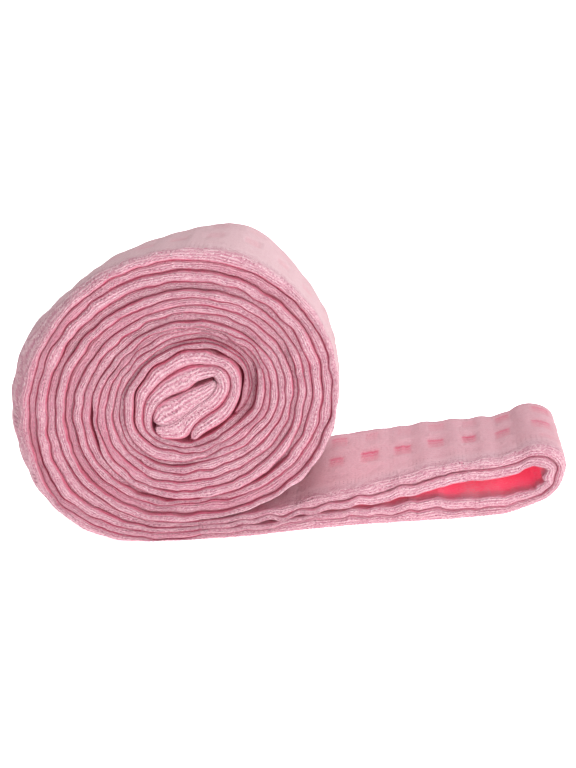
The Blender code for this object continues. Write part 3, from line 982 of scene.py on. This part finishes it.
# %% The four runs of cloth, and the hem
CLOTH = (
    # ply, its run, its face side and back side in the run's list of faces, points across the face
    ("lower_face_ply", "lower", 0, 1, 23),
    ("lower_back_ply", "lower", 1, 2, 6),
    ("upper_back_ply", "upper_back", 1, 0, 6),
    ("upper_face_ply", "upper", 2, 1, 23),
)
FOLDED = {"lower_face_ply": ["face_ply_fold"], "lower_back_ply": ["back_ply_fold"]}
plies, seams = {}, {}
for name, run_name, face_side, back_side, face_points in CLOTH:
    run = even_runs[run_name]
    data = ply(name, run, face_side, back_side, face_points)
    seams[name] = seam_line(data)
    mesh = as_mesh(name, data)
    stretches = ("turn_1", "turn_2", "turn_3", "tail", "end")
    nodes = [f"{name}_{stretch}" for stretch in stretches] + FOLDED.get(name, [])
    plies[name] = place_cloth(name + "_run", mesh, nodes, float(run["along"][-1]))

hem_run = even_runs["hem"]
hem_mesh = as_mesh("hem", ply("hem", hem_run, 0, 1, 8))
hem_length = float(hem_run["along"][-1])
plies["hem"] = place_cloth("hem", hem_mesh, ["upper_end_hem"], hem_length)

# %% [markdown]
# ## The cotton
#
# One material serves every ply. Its pink is pale where a lip or a ridge catches the light, and deep
# where the cloth goes down between its neighbours: there shade is painted into the colour, pinker
# because light that bounces between pink walls turns pinker. The attributes steer that painted
# shade and light. The knitted rows, the eyelets and the squiggles in the windows follow the cloth's
# own coordinates, so they run along every turn.

# %% Small helpers for the material's nodes
class Nodes:
    """Adds nodes to a material and links them, one short call for each."""

    def __init__(self, material):
        material.use_nodes = True
        self.tree = material.node_tree
        self.shader = self.tree.nodes["Principled BSDF"]

    def feed(self, socket, value):
        if isinstance(value, bpy.types.NodeSocket):
            self.tree.links.new(value, socket)
        else:
            socket.default_value = value

    def read(self, name):
        node = self.tree.nodes.new("ShaderNodeAttribute")
        node.attribute_name = name
        return node.outputs["Fac"]

    def maths(self, operation, *values, clamp=False):
        node = self.tree.nodes.new("ShaderNodeMath")
        node.operation, node.use_clamp = operation, clamp
        for socket, value in zip(node.inputs, values):
            self.feed(socket, value)
        return node.outputs[0]

    def mix(self, amount, start, end):
        node = self.tree.nodes.new("ShaderNodeMix")
        node.data_type = "RGBA"
        self.feed(node.inputs[0], amount)
        self.feed(node.inputs[6], start)
        self.feed(node.inputs[7], end)
        return node.outputs[2]

    def noise(self, vector, scale, detail=2.0, roughness=0.6):
        node = self.tree.nodes.new("ShaderNodeTexNoise")
        self.feed(node.inputs["Vector"], vector)
        node.inputs["Scale"].default_value = scale
        node.inputs["Detail"].default_value = detail
        node.inputs["Roughness"].default_value = roughness
        return node.outputs["Fac"]

    def step(self, value, low, high, to_low=0.0, to_high=1.0):
        node = self.tree.nodes.new("ShaderNodeMapRange")
        node.interpolation_type = "SMOOTHSTEP"
        for socket, given in zip(node.inputs, (value, low, high, to_low, to_high)):
            self.feed(socket, given)
        return node.outputs[0]

    def stretched(self, u, v, u_scale, v_scale):
        node = self.tree.nodes.new("ShaderNodeCombineXYZ")
        self.feed(node.inputs[0], self.maths("MULTIPLY", u, u_scale))
        self.feed(node.inputs[1], self.maths("MULTIPLY", v, v_scale))
        return node.outputs[0]

    def wave(self, value, pitch, shift=0.0):
        """From 0 to 1 and back, once in each pitch."""
        turned = self.maths("MULTIPLY_ADD", value, 2 * math.pi / pitch, shift)
        return self.maths("MULTIPLY_ADD", self.maths("COSINE", turned), 0.5, 0.5)


print("helpers:", ", ".join(name for name in vars(Nodes) if not name.startswith("_")))

# %% Patterns that follow the cloth
ROW_PITCH = 0.066  # between two knitted rows, in centimetres


def patterns(n):
    """Masks in the cloth's own coordinates, in centimetres: u along the tie, v round its edge."""
    cloth = n.tree.nodes.new("ShaderNodeUVMap")
    cloth.uv_map = "cloth"
    split = n.tree.nodes.new("ShaderNodeSeparateXYZ")
    n.feed(split.inputs[0], cloth.outputs[0])
    u, v = split.outputs[0], split.outputs[1]

    def speckle(u_scale, v_scale, detail, low, high, scale=1.0):
        return n.step(n.noise(n.stretched(u, v, u_scale, v_scale), scale, detail), low, high)

    wander = n.noise(n.stretched(u, v, 1.0, 1.6), 1.5, 2.0)
    v_wavy = n.maths("MULTIPLY_ADD", wander, 0.16, v)
    rows = n.wave(v_wavy, ROW_PITCH)
    dots = n.maths("MULTIPLY", n.wave(u, 0.13), n.wave(v_wavy, 0.12, 1.2))
    patches = speckle(0.9, 3.0, 2.0, 0.46, 0.60)
    near_edge = n.step(n.maths("ABSOLUTE", v), 0.9, 1.5, 1.0, 0.25)
    slanted = n.wave(n.maths("MULTIPLY_ADD", v_wavy, 0.8, u), 0.088)
    bend = n.noise(n.stretched(u, v, 3.0, 0.5), 1.0)
    return {
        "lines": n.maths("MULTIPLY", n.maths("SUBTRACT", 1.0, rows), speckle(5.0, 13.0, 3.0, 0.36, 0.60)),
        "dashes": speckle(8.0, 26.0, 2.0, 0.56, 0.64),
        "flecks": speckle(11.0, 30.0, 2.0, 0.56, 0.66, 1.3),
        "eyelets": n.maths("MULTIPLY", n.maths("MULTIPLY", n.step(dots, 0.58, 0.9), patches), near_edge),
        "squiggles": speckle(9.0, 16.0, 2.0, 0.42, 0.58),
        "ticks": n.maths("MULTIPLY", slanted, speckle(7.0, 9.0, 3.0, 0.40, 0.66)),
        "on_lip": n.step(n.maths("ABSOLUTE", v), 0.35, 0.80, 1.0, 0.25),
        "bent": n.maths("MULTIPLY_ADD", bend, 0.7, n.read("crossing")),
        "ragged": n.maths("SUBTRACT", n.noise(n.stretched(u, v, 6.0, 16.0), 1.0, 3.0), 0.5),
    }


print("knitted rows in a centimetre:", round(1 / ROW_PITCH))

# %% Colours of the cloth in the open
PALE, PALE_PATCH, BRIGHT = (0.80, 0.55, 0.60, 1), (0.76, 0.47, 0.53, 1), (0.91, 0.74, 0.78, 1)
# the grey pink is a painted sheen, where grazing light whitens the fuzz
SHEEN_GREY, SUNK, WINDOW_SHADOW = (0.77, 0.56, 0.59, 1), (0.82, 0.27, 0.35, 1), (0.82, 0.13, 0.23, 1)
THREAD_SHADE, EYELET = (0.52, 0.17, 0.25, 1), (0.38, 0.10, 0.16, 1)


def open_cloth(n, place, mask):
    """Pale cloth, its windows with the shadow painted along their far walls, and the threads of its lips."""
    pale = n.mix(n.noise(place, 95.0, 3.0), PALE, PALE_PATCH)
    face = n.mix(n.read("dusty"), pale, SHEEN_GREY)
    window = n.read("window")
    filled = n.maths("MULTIPLY_ADD", mask["squiggles"], 0.35, 0.75)
    sunk = n.mix(n.maths("MULTIPLY", window, filled, clamp=True), face, SUNK)
    # painted shadow along each window's far wall, and a fainter line of the same painted shade across its
    # middle
    far_edge = n.maths("ABSOLUTE", n.maths("SUBTRACT", mask["bent"], 0.85))
    middle = n.maths("ABSOLUTE", n.maths("SUBTRACT", mask["bent"], 0.40))
    faint = n.maths("MULTIPLY", n.step(middle, 0.04, 0.20, 1.0, 0.0), 0.5)
    window_shadows = n.maths("ADD", faint, n.step(far_edge, 0.05, 0.30, 1.0, 0.0))
    shade = n.mix(n.maths("MULTIPLY", window_shadows, n.step(window, 0.35, 0.9), clamp=True), sunk, WINDOW_SHADOW)
    # painted shade in the creases between the strands
    shade = n.mix(n.maths("MULTIPLY", n.read("crease"), 0.95), shade, THREAD_SHADE)
    for name, strength, colour in (
        ("ticks", 0.55, THREAD_SHADE),
        ("lines", 0.75, THREAD_SHADE),
        ("dashes", 0.80, THREAD_SHADE),
        ("flecks", 0.75, BRIGHT),
    ):
        amount = n.maths("MULTIPLY", mask[name], n.maths("MULTIPLY", mask["on_lip"], strength))
        shade = n.mix(amount, shade, colour)
    return n.mix(n.maths("MULTIPLY", mask["eyelets"], 0.60), shade, EYELET)


print("window and pale cloth:", SUNK[:3], PALE[:3])

# %% The cotton, with its painted shade and light and its bump
# painted shade for the sides and the bottom of a groove, and the painted pink light inside the gap at the
# fold
FLANK_SHADE, DEEP_SHADE, GLOW = (0.64, 0.27, 0.35, 1), (0.60, 0.12, 0.20, 1), (0.98, 0.14, 0.27, 1)
COTTON_FINISH = {
    "Roughness": 0.95,
    "Specular IOR Level": 0.10,
    "Sheen Weight": 0.25,
    "Sheen Roughness": 0.5,
    "Sheen Tint": (1.0, 0.86, 0.89, 1),
    "Emission Color": GLOW,
}


def cotton():
    material = bpy.data.materials.new("waffle cotton")
    n = Nodes(material)
    for name, given in COTTON_FINISH.items():
        n.shader.inputs[name].default_value = given
    place = n.tree.nodes.new("ShaderNodeTexCoord").outputs["Object"]
    mask = patterns(n)
    glow = n.read("glow")

    # painted shade: the deeper the cloth lies between its neighbours, the more its colour turns to the
    # painted shade of a groove's sides, then of its bottom; inside the gap it turns to the painted pink light
    ragged = n.maths("MULTIPLY", mask["ragged"], n.step(n.read("tucked"), 0.02, 0.25, 0.0, 1.1))
    tucked = n.maths("ADD", n.read("tucked"), ragged, clamp=True)
    at_flank = n.maths("SUBTRACT", n.step(tucked, 0.0, 0.55, 0.0, 0.9), glow, clamp=True)
    flank = n.mix(at_flank, open_cloth(n, place, mask), FLANK_SHADE)
    colour = n.mix(n.step(tucked, 0.40, 1.0), flank, n.mix(glow, DEEP_SHADE, GLOW))
    n.feed(n.shader.inputs["Base Color"], colour)

    # painted light: a weak glow stands for the daylight that comes through the thin cloth, in the gap at the
    # fold and in the deepest grooves
    buried = n.maths("MULTIPLY", n.step(tucked, 0.25, 1.0), 0.04)
    through = n.maths("MULTIPLY_ADD", n.maths("MULTIPLY", glow, tucked), 0.20, buried)
    n.feed(n.shader.inputs["Emission Strength"], through)

    fibre = n.noise(place, 2600.0, 3.0, 0.7)
    height = n.maths("MULTIPLY_ADD", mask["lines"], -0.7, n.maths("MULTIPLY", fibre, 0.8))
    height = n.maths("MULTIPLY_ADD", mask["ticks"], -0.6, height)
    height = n.maths("MULTIPLY_ADD", mask["eyelets"], -1.2, height)
    squiggles = n.maths("MULTIPLY", mask["squiggles"], n.read("window"))
    height = n.maths("MULTIPLY_ADD", squiggles, 0.8, height)
    bump = n.tree.nodes.new("ShaderNodeBump")
    bump.inputs["Strength"].default_value = 0.8
    bump.inputs["Distance"].default_value = 0.00035
    n.feed(bump.inputs["Height"], height)
    n.feed(n.shader.inputs["Normal"], bump.outputs["Normal"])
    return material


cotton_material = cotton()
for piece in plies.values():
    piece.data.materials.append(cotton_material)
print("nodes in the cotton:", len(cotton_material.node_tree.nodes))

# %% [markdown]
# ## The stitches
#
# The maker closes each edge with a row of short stitches, about fifteen to the inch. They could be a
# texture, but real threads catch the light and cast their own small shadows. Hundreds of equal
# pieces along a path are a job for Geometry Nodes: one thread, set on even points of a curve and
# turned to follow it. A fixed seed makes some of them a little larger than others.

# %% The thread
THREAD_DARK, THREAD_LIGHT = (0.42, 0.11, 0.18, 1), (0.60, 0.22, 0.31, 1)


def thread_material():
    material = bpy.data.materials.new("sewing thread")
    n = Nodes(material)
    place = n.tree.nodes.new("ShaderNodeTexCoord").outputs["Object"]
    n.feed(n.shader.inputs["Base Color"], n.mix(n.noise(place, 500.0), THREAD_DARK, THREAD_LIGHT))
    n.shader.inputs["Roughness"].default_value = 0.7
    return material


thread = thread_material()
print("material:", thread.name)

# %% A tree that sews along a line
SEWING_INPUTS = {"Line": "Geometry", "Pitch": "Float", "Length": "Float", "Thickness": "Float", "Seed": "Int"}


def sewing_tree(material):
    tree = bpy.data.node_groups.new("sewing", "GeometryNodeTree")
    for name, kind in SEWING_INPUTS.items():
        tree.interface.new_socket(name=name, in_out="INPUT", socket_type="NodeSocket" + kind)
    tree.interface.new_socket(name="Thread", in_out="OUTPUT", socket_type="NodeSocketGeometry")

    def add(kind, **links):
        node = tree.nodes.new(kind)
        for name, source in links.items():
            socket = node.inputs[name.replace("_", " ")]
            if isinstance(source, bpy.types.NodeSocket):
                tree.links.new(source, socket)
            else:
                socket.default_value = source
        return node

    given = tree.nodes.new("NodeGroupInput").outputs
    path = add("GeometryNodeMeshToCurve", Mesh=given["Line"])
    even = add("GeometryNodeResampleCurve", Curve=path.outputs[0])
    even.mode = "LENGTH"
    tree.links.new(given["Pitch"], even.inputs["Length"])
    tangent = add("GeometryNodeInputTangent")
    turned = add("FunctionNodeAlignRotationToVector", Vector=tangent.outputs[0])
    turned.axis = "Z"
    stitch = add("GeometryNodeMeshUVSphere", Segments=6, Rings=4, Radius=0.5)
    size = add("ShaderNodeCombineXYZ", X=given["Thickness"], Y=given["Thickness"], Z=given["Length"])
    shaped = add("GeometryNodeTransform", Geometry=stitch.outputs[0], Scale=size.outputs[0])
    uneven = tree.nodes.new("FunctionNodeRandomValue")
    uneven.data_type = "FLOAT"
    uneven.inputs[2].default_value, uneven.inputs[3].default_value = 0.7, 1.25
    tree.links.new(given["Seed"], uneven.inputs["Seed"])
    sewn = add("GeometryNodeInstanceOnPoints", Points=even.outputs[0], Instance=shaped.outputs[0])
    tree.links.new(turned.outputs[0], sewn.inputs["Rotation"])
    tree.links.new(uneven.outputs[1], sewn.inputs["Scale"])
    real = add("GeometryNodeRealizeInstances", Geometry=sewn.outputs[0])
    coloured = add("GeometryNodeSetMaterial", Geometry=real.outputs[0])
    coloured.inputs["Material"].default_value = material
    tree.links.new(coloured.outputs[0], tree.nodes.new("NodeGroupOutput").inputs[0])
    return tree


sewing = sewing_tree(thread)
print("nodes in the sewing tree:", len(sewing.nodes))

# %% The stitches of each ply
STITCH_PITCH, STITCH_LENGTH, STITCH_THICK = 1.7, 0.9, 0.30
scene_objects = bpy.context.scene.collection.objects


def sew(name, line, tree, seed):
    """Runs the tree along a line of points and keeps its result as a plain mesh."""
    path = bpy.data.meshes.new(name + "_path")
    path.from_pydata((line * MM).tolist(), [(k, k + 1) for k in range(len(line) - 1)], [])
    guide = bpy.data.objects.new(name + "_path", path)
    scene_objects.link(guide)
    modifier = guide.modifiers.new("sewing", "NODES")
    modifier.node_group = tree
    sizes = {"Pitch": STITCH_PITCH * MM, "Length": STITCH_LENGTH * MM, "Thickness": STITCH_THICK * MM}
    sizes["Seed"] = seed
    for item in tree.interface.items_tree:
        if item.in_out == "INPUT" and item.name in sizes:
            modifier[item.identifier] = sizes[item.name]
    evaluated = guide.evaluated_get(bpy.context.evaluated_depsgraph_get())
    mesh = bpy.data.meshes.new_from_object(evaluated)
    bpy.data.objects.remove(guide)
    stitches = bpy.data.objects.new(name, mesh)
    scene_objects.link(stitches)
    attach(stitches, "root")
    print(name, "has", len(mesh.polygons), "faces")


for number, (name, line) in enumerate(seams.items()):
    sew(name + "_stitches", line, sewing, number)

# %% [markdown]
# ## Floor, light and camera
#
# The photo is a cut-out on pure white, lit softly from the front and above. A bright white floor
# and a white world that is dimmer to the left give that. A soft light stands low in front, to the
# right, and a larger one hangs above. The camera stands 0.67 m away and a little above.

# %% Floor and light
scene = bpy.context.scene
scene.view_settings.view_transform = "Standard"
scene.cycles.diffuse_bounces = 10

world = bpy.data.worlds.new("studio")
scene.world = world
world.use_nodes = True
background = world.node_tree.nodes["Background"]
background.inputs["Color"].default_value = (1, 1, 1, 1)
aim = world.node_tree.nodes.new("ShaderNodeTexCoord")
apart = world.node_tree.nodes.new("ShaderNodeSeparateXYZ")
strength = world.node_tree.nodes.new("ShaderNodeMapRange")
for socket, value in zip(strength.inputs[1:5], (-0.9, 0.8, 0.08, 0.48)):  # dimmer from the left
    socket.default_value = value
world.node_tree.links.new(aim.outputs["Generated"], apart.inputs[0])
world.node_tree.links.new(apart.outputs[0], strength.inputs[0])
world.node_tree.links.new(strength.outputs[0], background.inputs["Strength"])


def white_floor():
    size = 6.0
    mesh = bpy.data.meshes.new("floor")
    corners = [(-size, -size, 0), (size, -size, 0), (size, size, 0), (-size, size, 0)]
    mesh.from_pydata(corners, [], [(0, 1, 2, 3)])
    floor = bpy.data.objects.new("floor", mesh)
    scene.collection.objects.link(floor)
    material = bpy.data.materials.new("white floor")
    material.use_nodes = True
    shader = material.node_tree.nodes["Principled BSDF"]
    shader.inputs["Base Color"].default_value = (0.9, 0.9, 0.9, 1)
    shader.inputs["Roughness"].default_value = 1.0
    shader.inputs["Specular IOR Level"].default_value = 0.0
    shader.inputs["Emission Color"].default_value = (1, 1, 1, 1)
    shader.inputs["Emission Strength"].default_value = 0.85
    mesh.materials.append(material)


white_floor()


def soft_light(name, place, size, power):
    data = bpy.data.lights.new(name, "AREA")
    data.shape, data.size, data.energy = "DISK", size, power
    light = bpy.data.objects.new(name, data)
    light.location = place
    towards = Vector((-0.02, 0, 0.04)) - Vector(place)
    light.rotation_euler = towards.to_track_quat("-Z", "Y").to_euler()
    scene.collection.objects.link(light)


soft_light("front", (0.42, -0.66, 0.26), 0.4, 3.2)
soft_light("above", (0.15, -0.05, 1.20), 0.8, 9.4)

# %% Camera
CAMERA_TURN, CAMERA_DOWN, CAMERA_ROLL = math.radians(-3.0), math.radians(16.5), math.radians(-2.5)
CAMERA_TARGET, CAMERA_AWAY = Vector((-0.0019, -0.0018, 0.0424)), 0.673

forward = Vector(
    (
        math.sin(CAMERA_TURN) * math.cos(CAMERA_DOWN),
        math.cos(CAMERA_TURN) * math.cos(CAMERA_DOWN),
        -math.sin(CAMERA_DOWN),
    )
)
right = Vector((math.cos(CAMERA_TURN), -math.sin(CAMERA_TURN), 0))
up = right.cross(forward)
right, up = (
    math.cos(CAMERA_ROLL) * right + math.sin(CAMERA_ROLL) * up,
    math.cos(CAMERA_ROLL) * up - math.sin(CAMERA_ROLL) * right,
)
data = bpy.data.cameras.new("camera")
data.lens, data.sensor_width = 96.0, 36.0
data.clip_start = 0.01
camera = bpy.data.objects.new("camera", data)
axes = Matrix((right, up, -forward)).transposed().to_4x4()
camera.matrix_world = Matrix.Translation(CAMERA_TARGET - CAMERA_AWAY * forward) @ axes
scene.collection.objects.link(camera)
scene.camera = camera
print("camera at", [round(v, 3) for v in camera.location])
